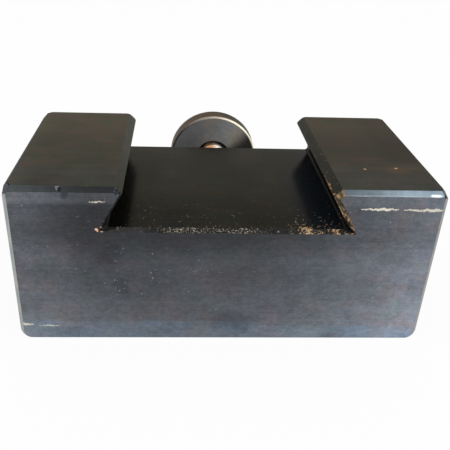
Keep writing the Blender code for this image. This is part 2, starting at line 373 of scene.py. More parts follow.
def near_specks(finish):
    """Pale specks and short hair scratches where the near face was knocked."""
    gathered = strongest([stain(finish, *place) for place in SPECKED])
    grain = finish.noise((1.9, 1.9, 1.9), detail=1.0, seed=15.0)
    specks = finish.rise(grain + gathered * 0.07, 0.75, 0.79)
    strokes = finish.noise((0.7, 0.0, 5.0), detail=1.0, seed=16.0)
    hairs = finish.rise(strokes + gathered * 0.05, 0.74, 0.80)
    return specks.most(hairs * 0.45)


def grinding(finish, seed):
    """Fine grinding lines along X."""
    fine = finish.noise((0.05, 7.0, 7.0), detail=2.0, seed=seed)
    broad = finish.noise((0.03, 1.6, 1.6), detail=2.0, seed=seed + 5)
    return fine * 0.65 + broad * 0.35


def near_face_finish():
    """Ground and blued, with a rubbed band along each long edge. Painted reflection leaves it darkest at the
    upper left.
    """
    f = Finish("near_face_blued_steel")
    lines = grinding(f, 1.0)
    clouds = f.noise((0.13, 0.13, 0.17), detail=4.0, seed=7.0)
    mottle = f.noise((0.9, 0.6, 1.3), detail=4.0, roughness=0.65, seed=5.0)
    grain = f.noise((2.6, 2.6, 3.4), detail=2.0, roughness=0.6, seed=6.0)
    streaks = f.noise((0.5, 0.1, 0.05), detail=2.0, seed=3.0)
    waver = f.z + 0.5 * (f.noise((0.3, 0.0, 0.0), detail=3.0, seed=9.0) - 0.5)
    low_band = 1 - f.rise(waver + f.rise(f.x, 0.0, 10.0), 3.2, 4.2)
    high_band = f.rise(waver, 25.8, 26.7)
    to_left = 1 - f.rise(f.x, -36.0, -20.0)
    to_right = f.rise(f.x, 0.0, 40.0)
    below_slot = 1 - f.rise(f.z, 15.0, 21.5)
    to_foot = 1 - f.rise(f.z, 0.0, 17.0)
    upper = f.rise(f.z, 12.0, 18.0)
    # Painted reflection: the level rises towards the far left end, to the right, towards the foot and below
    # the slot, where the face mirrors the lamps and the floor.
    level = 54 + to_left * (23 + 12 * upper) + 56 * to_right + 20 * below_slot + 22 * to_foot
    level = level - 9 * (1 - upper) * f.window(f.x, 16.0, 27.0, 3.0)
    level = level + low_band * (11 - 7 * to_right) + high_band * (22 - 16 * to_right)
    cloudy = 0.44 * (clouds - 0.5) + 0.42 * (mottle - 0.5) + 0.30 * (grain - 0.5)
    level = level * (1 + cloudy + 0.20 * (lines - 0.5) + 0.08 * (streaks - 0.5))
    dark = strongest([stain(f, *place) * depth for *place, depth in STAINS])
    level = level * (1 - dark)
    bluer = (low_band * 0.9 + to_right * 0.3 + dark * 2.0).least(1.0)
    hue = f.mix(tint(84, 87, 93), tint(99, 111, 125), bluer)
    warm = f.rise(f.noise((0.2, 0.2, 0.25), detail=3.0, seed=27.0), 0.46, 0.64)
    green = f.rise(f.noise((0.22, 0.2, 0.25), detail=3.0, seed=28.0), 0.50, 0.68)
    hue = f.mix(hue, tint(92, 89, 94), warm * (0.75 - 0.3 * low_band))
    hue = f.mix(hue, tint(80, 88, 89), green * 0.5)
    colour = f.shade(level, hue)
    marks = rubs(f)
    colour = f.mix(colour, srgb(168, 166, 160), near_specks(f) * 0.7)
    chip_x, chip_z, chip_radius = CHIP
    chip = spot(f, f.x + CHIP_LEAN * f.z, f.z, chip_x + CHIP_LEAN * chip_z, chip_z, chip_radius)
    colour = f.mix(colour, srgb(226, 219, 203), marks)
    colour = f.mix(colour, srgb(236, 188, 158), chip)
    rough = 0.42 + (clouds - 0.5) * 0.2 + marks * 0.2
    metallic = 0.7 - marks.most(chip) * 0.5
    height = lines + marks * 0.6 - low_band * 0.8 - high_band * 0.8
    return f.close(colour, rough, metallic, height, relief=0.012)


def ear_top_finish():
    """The same blue over fine lines along X, browner towards the back."""
    f = Finish("ear_top_blued_steel", gloss=OXIDE_GLOSS, glance=OXIDE_GLANCE)
    lines = grinding(f, 11.0)
    back = f.back()
    blotches = f.noise((0.16, 0.22, 0.2), detail=5.0, roughness=0.6, seed=13.0)
    grain = f.noise((2.4, 2.0, 2.4), detail=2.0, roughness=0.6, seed=12.0)
    warm = f.rise(f.noise((0.2, 0.3, 0.2), detail=4.0, seed=17.0), 0.48, 0.64)
    green = f.rise(f.noise((0.22, 0.26, 0.2), detail=4.0, seed=23.0), 0.48, 0.64)
    on_right = f.on_right()
    to_outer = 1 - f.rise(f.x, -36.0, -29.0)
    level = 61 + to_outer * (7 + 5 * (1 - f.rise(back, 5.0, 14.0))) + 5 * f.rise(back, 18.0, 30.0)
    level = level - on_right * f.rise(back, 9.0, 16.0) * (7 + 7 * f.rise(f.x, 27.0, 30.0))
    level = level * (1 + 0.50 * (blotches - 0.5) + 0.34 * (lines - 0.5) + 0.26 * (grain - 0.5))
    hue = f.mix(tint(68, 69, 66), tint(83, 79, 69), f.rise(back, 1.0, 14.0))
    hue = f.mix(hue, tint(88, 79, 63), f.rise(back, 16.0, 32.0))
    hue = f.mix(hue, tint(88, 71, 65), warm * (0.3 + 0.4 * f.rise(back, 6.0, 14.0)))
    hue = f.mix(hue, tint(72, 76, 60), green * 0.6)
    colour = f.shade(level, hue)
    marks = strongest([spot(f, f.x, back, *speck) for speck in EAR_SPECKS])
    haze = haze_on_ear(f, back, *EAR_HAZE) * f.rise(blotches, 0.45, 0.6)
    colour = f.mix(colour, srgb(92, 66, 44), haze * 0.45)
    dust = f.rise(f.noise((2.4, 2.4, 2.4), detail=2.0, seed=29.0), 0.70, 0.78)
    colour = f.mix(colour, srgb(186, 150, 116), marks.most(dust * 0.3))
    rough = 0.36 + (blotches - 0.5) * 0.2
    return f.close(colour, rough, 0.9, lines, relief=0.010)


def floor_finish():
    """Dovetail floor: dark, smooth enough to mirror the flanks, and with painted shadow under the lips."""
    f = Finish("dovetail_floor_blued_steel", gloss=OXIDE_GLOSS, glance=OXIDE_GLANCE)
    lines = grinding(f, 31.0)
    back = f.back()
    clouds = f.noise((0.14, 0.12, 0.12), detail=5.0, roughness=0.6, seed=33.0)
    at_side = f.rise(abs(f.x), 6.0, 13.0)
    at_back = f.rise(back, 24.0, 34.0)
    level = 36 + 7 * f.window(back, 12.0, 31.0, 5.0) + 9 * at_back * (1 - 0.5 * at_side)
    level = level + at_side * (8 * f.rise(back, 31.0, 36.0) - 1.8)
    level = level * (1 + 0.50 * (clouds - 0.5) + 0.50 * (lines - 0.5))
    warm = f.rise(f.noise((0.18, 0.3, 0.2), detail=3.0, seed=35.0), 0.46, 0.62)
    hue = f.mix(tint(54, 55, 51), tint(58, 54, 47), warm)
    colour = f.shade(level, hue)
    # Painted shadow under each lip's overhang: a darker, less metallic colour, deepest towards the flank.
    to_flank = f.x - 0.42 * (back - 20.0).most(0.0)
    under_lip_shadow = f.rise(to_flank, 10.7, 13.3)
    deep = f.rise(to_flank, 12.6, 15.2)
    near = 1 - f.rise(back, 4.0, 13.0)
    lip_shade = f.shade(12 + 22 * deep, f.mix(tint(50, 49, 46), tint(38, 44, 52), deep))
    colour = f.mix(colour, lip_shade, under_lip_shadow)
    rim = 1 - f.rise(back, 0.9, 2.1)
    grain = f.noise((2.5, 2.5, 2.5), detail=2.0, roughness=0.6, seed=37.0)
    to_corner = f.rise(f.x, 9.0, 12.5) * (1 - f.rise(back, 1.0, 6.0))
    specks = f.rise(grain + near * 0.06 + to_corner * 0.09, 0.74, 0.78)
    cluster = f.window(f.x, *FLOOR_CLUSTER) * rim
    fine = f.noise((2.6, 2.6, 2.6), detail=2.0, roughness=0.6, seed=38.0)
    worn = f.rise(fine + cluster * 0.24, 0.64, 0.69) * rim
    colour = f.mix(colour, f.mix(srgb(150, 146, 134), srgb(176, 142, 96), to_corner), specks * 0.7)
    colour = f.mix(colour, f.mix(srgb(150, 140, 120), srgb(196, 158, 104), cluster), worn * 0.8)
    rough = 0.32 - 0.10 * at_side + (clouds - 0.5) * 0.06 + worn * 0.3
    return f.close(colour, rough, 0.85 - 0.65 * under_lip_shadow, lines, relief=0.004)


def flank_finish():
    """Flanks of the dovetail and the edges above them, worn at the right one's near end."""
    f = Finish("dovetail_flank_blued_steel", gloss=OXIDE_GLOSS, glance=OXIDE_GLANCE)
    streaks = f.noise((1.2, 0.08, 1.2), detail=3.0, seed=41.0)
    back = f.back()
    near = 1 - f.rise(back, 1.0, 10.0)
    grain = f.noise((2.4, 1.6, 2.4), detail=3.0, seed=43.0)
    top = f.rise(f.z, 26.4, 27.4)
    worn = f.rise(grain + near * 0.05 + top * 0.05, 0.66, 0.72) * near * f.on_right()
    upper_edge = top * f.on_right()
    level = 18 + 14 * streaks + (14 + 34 * (1 - f.rise(back, 3.0, 9.0))) * upper_edge
    colour = f.shade(level, f.mix(tint(34, 35, 38), tint(60, 55, 46), upper_edge))
    colour = f.mix(colour, srgb(178, 138, 92), worn * 0.85)
    return f.close(colour, 0.36 + worn * 0.2, 0.8, streaks, relief=0.006)


def lip_finish():
    """Chamfer along each lip of the dovetail, with a few worn specks at its near right end."""
    f = Finish("lip_blued_steel", gloss=OXIDE_GLOSS, glance=OXIDE_GLANCE)
    lines = f.noise((4.0, 0.06, 4.0), detail=2.0, seed=45.0)
    patches = f.noise((0.6, 0.25, 0.6), detail=4.0, seed=47.0)
    back = f.back()
    on_right = f.on_right()
    level = 60 - 14 * on_right + 8 * f.rise(back, 4.0, 30.0)
    level = level * (1 + 0.4 * (patches - 0.5) + 0.3 * (lines - 0.5))
    colour = f.shade(level, tint(66, 66, 60))
    near = 1 - f.rise(back, 3.0, 12.0)
    low = 1 - f.rise(f.z, 27.7, 28.2)
    corner = (1 - f.rise(back, 0.8, 1.6)) * on_right
    grain = f.noise((2.4, 2.0, 2.4), detail=2.0, seed=49.0)
    worn = f.rise(grain + near * low * 0.20 + corner * 0.05, 0.68, 0.74) * on_right
    colour = f.mix(colour, srgb(180, 140, 98), worn * 0.8)
    return f.close(colour, 0.38, 0.9, lines, relief=0.006)


def chamfer_finish():
    """Chamfers of the long top edges: dark on the left ear, pale on the right, partly rubbed steel and
    partly a painted highlight.
    """
    f = Finish("long_chamfer_worn_steel")
    lines = f.noise((0.12, 4.0, 4.0), detail=3.0, seed=51.0)
    patches = f.noise((0.9, 0.5, 0.5), detail=4.0, roughness=0.65, seed=53.0)
    on_right = f.on_right()
    # Partly painted highlight: brighter at the far left end and much brighter across the right ear.
    left_level = 36 + 38 * (1 - f.rise(f.x, -37.0, -18.0))
    right_level = 84 + 44 * f.rise(f.x, 19.0, 29.0)
    level = left_level + (right_level - left_level) * on_right
    level = level * (1 + 0.5 * (patches - 0.5) + 0.3 * (lines - 0.5))
    hue = f.mix(tint(62, 66, 68), tint(143, 160, 172), on_right)
    colour = f.shade(level, hue)
    # Pale lines along the lower rim and near the right end: rubbed steel with a painted glint.
    at_rim = 1 - f.rise(f.z + 0.12 * (patches - 0.5), 28.24, 28.34)
    at_end = f.window(f.x, 31.9, 33.4, 0.4) * (1 - f.rise(f.z + 0.2 * (lines - 0.5), 28.36, 28.46))
    colour = f.mix(colour, srgb(208, 214, 218), at_rim * on_right * patches * 0.2)
    colour = f.mix(colour, srgb(228, 238, 240), at_end * 0.85)
    # The nick is a shallow dent, and its near-black colour is painted shade in it.
    nick = spot(f, f.x, f.z, *NICK)
    colour = f.mix(colour, srgb(120, 124, 128), spot(f, f.x, f.z, *NICK_RUB) * 0.6)
    colour = f.mix(colour, srgb(12, 12, 14), nick * 0.95)
    return f.close(colour, 0.42 + (patches - 0.5) * 0.15, 0.7, lines - nick * 2.0, relief=0.010)


def end_chamfer_finish():
    """Chamfers at the ears' outer ends, still dark."""
    f = Finish("end_chamfer_blued_steel", gloss=OXIDE_GLOSS, glance=EDGE_GLANCE)
    patches = f.noise((0.5, 0.4, 0.5), detail=4.0, seed=55.0)
    return f.close(f.shade(34 + 18 * patches, tint(58, 60, 60)), 0.38, 0.9, patches, relief=0.006)


def corner_finish():
    """Small facets at the ears' corners: filed outside, streaked on the left lip, tan on the right."""
    f = Finish("corner_facet_worn_steel", gloss=OXIDE_GLOSS)
    grain = f.noise((1.5, 1.5, 1.5), detail=4.0, roughness=0.6, seed=56.0)
    near = 1 - f.rise(f.back(), 2.0, 4.0)
    at_lip = (1 - f.rise(abs(f.x), 20.0, 21.0)) * near
    streaks = f.noise((4.0, 4.0, 1.0), detail=3.0, roughness=0.6, seed=58.0)
    filed = f.shade(44 + 40 * grain - 22 * f.on_right(), tint(64, 70, 80))
    grey = f.shade(34 + 60 * f.rise(streaks, 0.46, 0.66), tint(70, 76, 84))
    tan = f.mix(srgb(72, 64, 48), srgb(164, 130, 94), f.rise(grain, 0.46, 0.70))
    lip = f.mix(grey, tan, f.on_right())
    return f.close(f.mix(filed, lip, at_lip), 0.42, 0.7, grain, relief=0.010)


def strip_finish():
    """Upright chamfers at the ends of the near face, rubbed bright."""
    f = Finish("upright_chamfer_bright_steel")
    lines = f.noise((3.0, 3.0, 0.2), detail=3.0, seed=57.0)
    patches = f.noise((0.6, 0.6, 0.3), detail=4.0, seed=59.0)
    on_right = f.on_right()
    level = (158 - 22 * on_right) * (1 + 0.4 * (patches - 0.5) + 0.3 * (lines - 0.5))
    hue = f.mix(tint(176, 186, 184), tint(190, 188, 182), f.rise(patches, 0.4, 0.7).most(on_right))
    return f.close(f.shade(level, hue), 0.40, 0.6, lines, relief=0.006)


def mouth_finish():
    """Chamfer round the dovetail's mouth: dark, with specks of bare and rusty metal, and painted shade in
    its inner corners that runs the right one out to a point.
    """
    f = Finish("dovetail_mouth_worn_steel", gloss=0.15)
    back = f.back()
    fine = f.noise((5.2, 5.2, 5.2), detail=2.0, roughness=0.6, seed=61.0)
    coarse = f.noise((1.4, 1.4, 1.4), detail=4.0, roughness=0.65, seed=63.0)
    near = 1 - f.rise(back, 4.0, 8.0)
    on_right = f.on_right()
    on_slope = f.rise(f.z, 22.0, 22.5)
    on_floor = 1 - on_slope
    outer_rim = 1 - f.rise(back, 0.12, 0.34)
    inner_rim = f.rise(back, 0.42, 0.66)
    dense = f.window(f.x, *MOUTH_DENSE) * on_floor
    cluster = strongest([f.window(f.x, *span) for span in MOUTH_CLUSTERS]) * on_floor
    heavy = f.window(f.x, *MOUTH_HEAVY) * on_floor
    plain = (1 - f.rise(f.x, *MOUTH_PLAIN_END)) * on_floor
    high = f.rise(f.z, 23.6, 25.0)
    slope_pull = high * (0.10 + 0.14 * inner_rim) + (1 - high) * (0.25 * outer_rim + 0.10)
    speck_pull = 0.10 * dense + 0.07 * heavy + 0.04 * cluster - 0.02 * plain - 0.05
    pull = speck_pull + on_slope * slope_pull * on_right
    # Painted shade: the chamfer's inner part darkens towards the right corner so that it runs out to a
    # point, and its wear is left out there.
    to_point = (MOUTH_POINT_X - f.x) * 0.4 * on_floor + (f.z - MOUTH_POINT_Z) * 0.36 * on_slope
    tapering_shade = f.rise(back * (MM / MOUTH_CHAMFER) - to_point, 0.0, 0.2) * on_right
    pale_worn = f.rise(fine + pull, 0.58, 0.68) * near * (1 - tapering_shade)
    left_corner = f.window(f.x, *MOUTH_LEFT_CORNER) * (1 - f.rise(f.z, 22.0, 22.6))
    low_rim = on_slope * on_right * (1 - f.rise(back, 0.25, 0.50)) * (1 - high)
    tip_line = f.window(f.x, *MOUTH_TIP) * (1 - f.rise(back, 0.12, 0.26)) * on_floor
    wide_pull = 0.02 * heavy + 0.08 * cluster + 0.10 * left_corner + 0.34 * low_rim + 0.18 * tip_line
    wide_pull = wide_pull + on_slope * on_right * 0.05 - 0.02 * (1 - heavy) * on_floor
    wide_worn = f.rise(coarse + wide_pull, 0.62, 0.67) * near * f.rise(fine, 0.42, 0.52) * (1 - tapering_shade)
    # Painted shade in the chamfer's inner left corner, on its floor side.
    mouth_left_shade = f.rise(5.0 * back - f.x, 20.0, 20.6) * f.rise(back, 0.10, 0.25) * on_floor
    base = f.mix(tint(48, 49, 48), tint(64, 62, 48), on_slope * on_right)
    on_left_slope = on_slope * (1 - on_right)
    level = 12 + 44 * coarse + (12 + 14 * high) * on_slope * on_right + 14 * on_left_slope + 18 * plain
    grey = f.shade(level * (1 - mouth_left_shade * 0.5) * (1 - tapering_shade * 0.7), base)
    pale = f.mix(srgb(104, 98, 86), srgb(214, 200, 176), f.rise(coarse, 0.40, 0.66))
    rust = f.mix(srgb(104, 80, 52), srgb(214, 176, 136), f.rise(coarse + 0.3 * (fine - 0.5), 0.40, 0.64))
    rust = f.mix(rust, srgb(232, 206, 188), left_corner * 0.7)
    tanner = (on_slope * on_right).most(heavy * 0.7)
    colour = f.mix(grey, f.mix(pale, rust, tanner * 0.7), pale_worn * 0.74)
    colour = f.mix(colour, rust, wide_worn * 0.9)
    pale_line = outer_rim * on_left_slope * f.rise(coarse, 0.40, 0.55)
    colour = f.mix(colour, srgb(104, 106, 108), pale_line * 0.7)
    return f.close(colour, 0.5, 0.3, fine, relief=0.03)


def edge_finish():
    """Broken edges: pale above the right ear's near face, rubbed steel with a painted highlight, and dark
    elsewhere.
    """
    f = Finish("rubbed_edge_steel", gloss=OXIDE_GLOSS, glance=EDGE_GLANCE)
    rub = f.rise(f.noise((0.6, 0.6, 0.6), detail=4.0, seed=73.0), 0.40, 0.64)
    near = 1 - f.rise(f.back(), 0.3, 0.5)
    # Rubbed steel with a painted highlight along the right ear's near edges.
    right_ear_rub_and_glint = f.rise(f.x, 18.0, 20.0) * f.rise(f.z, 27.4, 27.8) * near
    level = 54 + 14 * rub + right_ear_rub_and_glint * (116 + 50 * rub)
    return f.close(f.shade(level, tint(140, 148, 152)), 0.40, 0.8, rub, relief=0.004)


def side_finish():
    """The body's other faces: the same blued steel, without the near face's marks."""
    f = Finish("side_blued_steel")
    lines = grinding(f, 81.0)
    clouds = f.noise((0.1, 0.1, 0.12), detail=5.0, seed=83.0)
    mottle = f.noise((0.7, 0.7, 1.2), detail=3.0, seed=85.0)
    dust = f.rise(f.noise((1.8, 1.8, 1.8), detail=2.0, seed=87.0), 0.72, 0.80)
    level = 78 * (1 + 0.44 * (clouds - 0.5) + 0.36 * (mottle - 0.5) + 0.24 * (lines - 0.5))
    hue = f.mix(tint(84, 87, 93), tint(89, 89, 90), f.rise(clouds, 0.35, 0.70))
    colour = f.mix(f.shade(level, hue), srgb(150, 142, 128), dust * 0.3)
    return f.close(colour, 0.43 + (clouds - 0.5) * 0.2, 0.7, lines, relief=0.010)


# Finishes of the turned pieces

def around_stud(finish):
    """Distance from the stud's axis, in millimetres."""
    across = finish.x - STUD_CENTRE.x * PER_MM
    up = finish.z - STUD_CENTRE.z * PER_MM
    return finish.length(across, up)


def turned_rings(finish, radius, per_mm):
    """Noise that depends on the distance from the axis alone."""
    line = finish.node("ShaderNodeCombineXYZ", inputs={"X": radius * per_mm})
    return finish.node("ShaderNodeTexNoise", inputs={"Vector": line, "Scale": 1.0, "Detail": 3.0})


def flange_face_finish():
    """Faced on a lathe: soft grey with faint rings, a painted sheen across it and painted shadow at its
    lower right.
    """
    f = Finish("flange_face_blackened_steel", gloss=0.3)
    radius = around_stud(f)
    rings = turned_rings(f, radius, 4.0)
    patches = f.noise((0.22, 0.22, 0.22), detail=4.0, seed=91.0)
    fine = f.noise((2.0, 2.0, 2.0), detail=3.0, roughness=0.65, seed=92.0)
    # Painted light: a sheen band, and shadow towards the lower right edge.
    low_right_shadow = f.rise(f.x - (f.z - 21.0), 4.5, 9.0)
    sheen = f.window(f.x - 0.6 * (f.z - 21.0), -0.5, 6.0, 2.5)
    level = 124 + 28 * sheen - 66 * low_right_shadow
    level = level * (1 + 0.24 * (rings - 0.5) + 0.36 * (patches - 0.5) + 0.22 * (fine - 0.5))
    hue = f.mix(tint(80, 81, 82), tint(90, 87, 80), f.rise(patches, 0.46, 0.66))
    pits = f.rise(f.noise((2.2, 2.2, 2.2), detail=2.0, seed=93.0), 0.70, 0.78)
    colour = f.mix(f.shade(level, hue), srgb(40, 38, 36), pits * 0.4)
    return f.close(colour, 0.40 + (patches - 0.5) * 0.15, 0.25, rings, relief=0.006)


def flange_rim_finish():
    """The flange's rim: brown, and duller towards the right."""
    f = Finish("flange_rim_brown_steel", gloss=OXIDE_GLOSS, glance=OXIDE_GLANCE)
    streaks = f.noise((0.5, 3.0, 0.5), detail=3.0, seed=94.0)
    patches = f.noise((0.4, 0.4, 0.4), detail=4.0, seed=95.0)
    to_right = f.rise(f.x, -2.0, 9.0)
    level = (67 - 16 * to_right) * (1 + 0.3 * (streaks - 0.5) + 0.4 * (patches - 0.5))
    hue = f.mix(tint(100, 83, 68), tint(80, 76, 58), to_right)
    return f.close(f.shade(level, hue), 0.40, 0.8, streaks, relief=0.006)


def flange_edge_finish():
    """The flange's rounded edges, with a painted highlight: dull on the left and bright on the right."""
    f = Finish("flange_edge_bright_steel")
    patches = f.noise((0.6, 0.6, 0.6), detail=3.0, seed=97.0)
    # Painted highlight along the edge, growing from the left to a bright cream on the right.
    to_middle = f.rise(f.x, -8.0, 0.0)
    to_right = f.rise(f.x, 0.0, 6.5)
    level = 62 + 90 * to_middle + 80 * to_right + 30 * (patches - 0.5)
    hue = f.mix(tint(112, 102, 95), tint(238, 230, 206), (to_middle * 0.5 + to_right).least(1.0))
    return f.close(f.shade(level, hue), 0.32, 0.8)


def bore_finish():
    """The nut's bore and its countersinks: painted shade, dark in the bore and lighter on the countersinks'
    outer part.
    """
    f = Finish("oily_bore_steel", gloss=OXIDE_GLOSS, glance=EDGE_GLANCE)
    # Painted shade in the bore, mottled, and lifted on the outer part of the countersinks.
    shade_mottle = f.noise((0.8, 0.8, 0.8), detail=3.0, seed=96.0)
    outer_countersink = f.rise(around_stud(f), 3.45, 3.85)
    return f.close(f.shade(24 + 20 * shade_mottle + 75 * outer_countersink, tint(56, 57, 51)), 0.45, 0.4, shade_mottle, relief=0.004)


def knurl_finish():
    """Knurled hub: darker in its roots, lighter on its crests."""
    f = Finish("knurl_blackened_steel")
    radius = around_stud(f)
    patches = f.noise((0.5, 0.5, 0.5), detail=4.0, seed=98.0)
    crest = f.rise(radius, 6.2, 6.5)
    level = (56 + 54 * crest) * (1 + 0.3 * (patches - 0.5))
    return f.close(f.shade(level, tint(96, 92, 86)), 0.38, 0.8, patches, relief=0.006)


def bright_edge_finish():
    """The lock nut's rubbed edges."""
    f = Finish("rubbed_bright_steel")
    rub = f.noise((0.5, 0.5, 0.5), detail=3.0, seed=99.0)
    return f.close(f.shade(140 + 60 * rub, tint(232, 228, 218)), 0.30, 0.9)


def stud_finish():
    """Bright thread, tarnished to copper. Between the body and the nut, painted shade darkens its sides and
    a ring by the nut's face.
    """
    f = Finish("tarnished_bright_steel")
    patches = f.noise((0.5, 0.5, 0.5), detail=4.0, seed=101.0)
    nut_near = NUT_LOW.y * PER_MM
    past_nut = f.rise(f.y, nut_near + 0.5, nut_near + 2.0)
    to_left = (1 - f.rise(f.x, -2.0, 1.6)) * (1 - past_nut) * 0.7
    copper = f.rise(to_left + past_nut * 0.2 + patches * 0.6, 0.40, 0.75)
    bright = f.mix(srgb(222, 218, 206), srgb(176, 170, 158), past_nut)
    colour = f.mix(bright, f.mix(srgb(214, 158, 118), srgb(178, 138, 108), past_nut), copper)
    root = (1 - f.rise(around_stud(f), 2.72, 3.02)) * past_nut
    colour = f.mix(colour, srgb(74, 62, 50), root * 0.7)
    # Painted shade on the stud's sides and where it enters the nut.
    by_nut = f.window(f.y, nut_near - 0.1, nut_near + 0.6, 0.1)
    side_and_nut_shade = (f.rise(abs(f.x), 1.7, 2.2) * (1 - past_nut)).most(by_nut)
    colour = f.mix(colour, srgb(44, 38, 32), side_and_nut_shade * 0.85)
    return f.close(colour, 0.36, 0.6 + 0.2 * past_nut, patches, relief=0.004)


def lock_nut_finish():
    """Plain steel, left as it was made."""
    f = Finish("plain_steel")
    patches = f.noise((0.4, 0.4, 0.4), detail=4.0, seed=107.0)
    grain = f.noise((4.0, 4.0, 4.0), detail=2.0, seed=109.0)
    level = 130 * (1 + 0.4 * (patches - 0.5) + 0.16 * (grain - 0.5))
    rough = 0.36 + (patches - 0.5) * 0.15
    return f.close(f.shade(level, tint(152, 149, 143)), rough, 0.85, grain, relief=0.005)


def screw_finish():
    """Black oxide of the clamp screws."""
    f = Finish("black_screw_steel")
    patches = f.noise((0.6, 0.6, 0.6), detail=3.0, seed=113.0)
    level = 52 * (1 + 0.5 * (patches - 0.5))
    return f.close(f.shade(level, tint(60, 60, 62)), 0.38, 0.7, patches, relief=0.004)


# Modelling

def pick_only(piece):
    bpy.ops.object.select_all(action="DESELECT")
    piece.select_set(True)
    bpy.context.view_layer.objects.active = piece


def pick_parts(piece, kind, chosen):
    """In edit mode, select only those vertices or edges of a piece that are chosen."""
    pick_only(piece)
    bpy.ops.object.mode_set(mode="EDIT")
    bpy.ops.mesh.select_mode(type=kind)
    bpy.ops.mesh.select_all(action="DESELECT")
    bpy.ops.object.mode_set(mode="OBJECT")
    for part in piece.data.vertices if kind == "VERT" else piece.data.edges:
        part.select = chosen(part)
    bpy.ops.object.mode_set(mode="EDIT")


def apply_modifiers(piece):
    pick_only(piece)
    for modifier in list(piece.modifiers):
        bpy.ops.object.modifier_apply(modifier=modifier.name)


def merged_copy(node, name):
    """Copy of a CAD node with its loose triangles merged into whole faces."""
    piece = bpy.data.objects.new(name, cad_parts[node].data.copy())
    bpy.context.collection.objects.link(piece)
    piece.data.materials.clear()
    pick_only(piece)
    bpy.ops.mesh.customdata_custom_splitnormals_clear()
    bpy.ops.object.mode_set(mode="EDIT")
    bpy.ops.mesh.select_all(action="SELECT")
    bpy.ops.mesh.remove_doubles(threshold=SAME_PLACE)
    bpy.ops.mesh.dissolve_limited(angle_limit=SAME_PLANE_ANGLE)
    bpy.ops.object.mode_set(mode="OBJECT")
    return piece


def break_edges(piece, width, material_index):
    """Round off the sharp edges, and give the new faces a material of their own."""
    bevel = piece.modifiers.new("broken_edges", "BEVEL")
    bevel.width = width
    bevel.segments = 2
    bevel.limit_method = "ANGLE"
    bevel.angle_limit = SHARP_ANGLE
    bevel.material = material_index
    apply_modifiers(piece)


def smooth(piece):
    """Shade small faces smooth, and keep large ones flat."""
    pick_only(piece)
    bpy.ops.object.shade_smooth_by_angle(angle=SHARP_ANGLE)
    even = piece.modifiers.new("even_shading", "WEIGHTED_NORMAL")
    even.keep_sharp = True
    apply_modifiers(piece)


def profile_line(start, steps):
    """Line drawn by extruding one point step by step."""
    bpy.ops.object.select_all(action="DESELECT")
    bpy.ops.mesh.primitive_plane_add(size=MM, location=start)
    bpy.ops.object.mode_set(mode="EDIT")
    bpy.ops.mesh.select_mode(type="VERT")
    bpy.ops.mesh.merge(type="CENTER")
    for step in steps:
        bpy.ops.mesh.extrude_region_move(TRANSFORM_OT_translate={"value": step})
    bpy.ops.object.mode_set(mode="OBJECT")
    bpy.ops.object.transform_apply(location=True, rotation=True, scale=True)
    return bpy.context.object


def threaded_bar(radius, pitch, low, length):
    """Bar with a right-hand thread along Y, from low, on the axis through low."""
    depth = THREAD_DEPTH_SHARE * pitch
    flat = pitch / 8
    slope = pitch / 2 - flat
    turns = int(length / pitch) + 3
    steps = [(0, 0, flat), (depth, 0, slope), (0, 0, flat), (-depth, 0, slope)]
    bar = profile_line((radius - depth, 0, -pitch), steps)
    screw = bar.modifiers.new("thread", "SCREW")
    screw.screw_offset = pitch
    screw.iterations = turns
    screw.steps = THREAD_STEPS
    screw.render_steps = THREAD_STEPS
    apply_modifiers(bar)
    bpy.ops.object.mode_set(mode="EDIT")
    bpy.ops.mesh.select_all(action="SELECT")
    bpy.ops.mesh.remove_doubles(threshold=SAME_PLACE)
    for height, outside in ((0, False), (length, True)):
        bpy.ops.mesh.select_all(action="SELECT")
        bpy.ops.mesh.bisect(plane_co=(0, 0, height), plane_no=(0, 0, 1), use_fill=True,
                            clear_inner=not outside, clear_outer=outside)
    bpy.ops.mesh.select_all(action="SELECT")
    bpy.ops.mesh.normals_make_consistent(inside=False)
    bpy.ops.object.mode_set(mode="OBJECT")
    bar.rotation_euler = (-pi / 2, 0, 0)
    bar.location = low
    bpy.ops.object.transform_apply(location=True, rotation=True, scale=True)
    return bar


def is_closed(piece):
    """Whether each edge of the mesh lies between two faces."""
    faces_at = [0] * len(piece.data.edges)
    for loop in piece.data.loops:
        faces_at[loop.edge_index] += 1
    return bool(faces_at) and all(count == 2 for count in faces_at)


def cut_thread(piece, node, pitch):
    """Keep only what of the piece lies inside a threaded bar of its own size."""
    low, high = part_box(node)
    centre = (low + high) / 2
    plain = piece.data
    for spare in THREAD_SPARES:
        piece.data = plain.copy()
        margin = pitch / 2 + spare
        start = (centre.x, low.y - margin, centre.z)
        bar = threaded_bar((high.x - low.x) / 2 + spare, pitch, start, high.y - low.y + 2 * margin)
        trim = piece.modifiers.new("thread", "BOOLEAN")
        trim.operation = "INTERSECT"
        trim.solver = "EXACT"
        trim.object = bar
        apply_modifiers(piece)
        bpy.data.objects.remove(bar, do_unlink=True)
        if is_closed(piece):
            return


def dress(piece, node, body):
    """Hide the node that the finished piece stands for, and hang the piece on its body."""
    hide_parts(node)
    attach(piece, body)


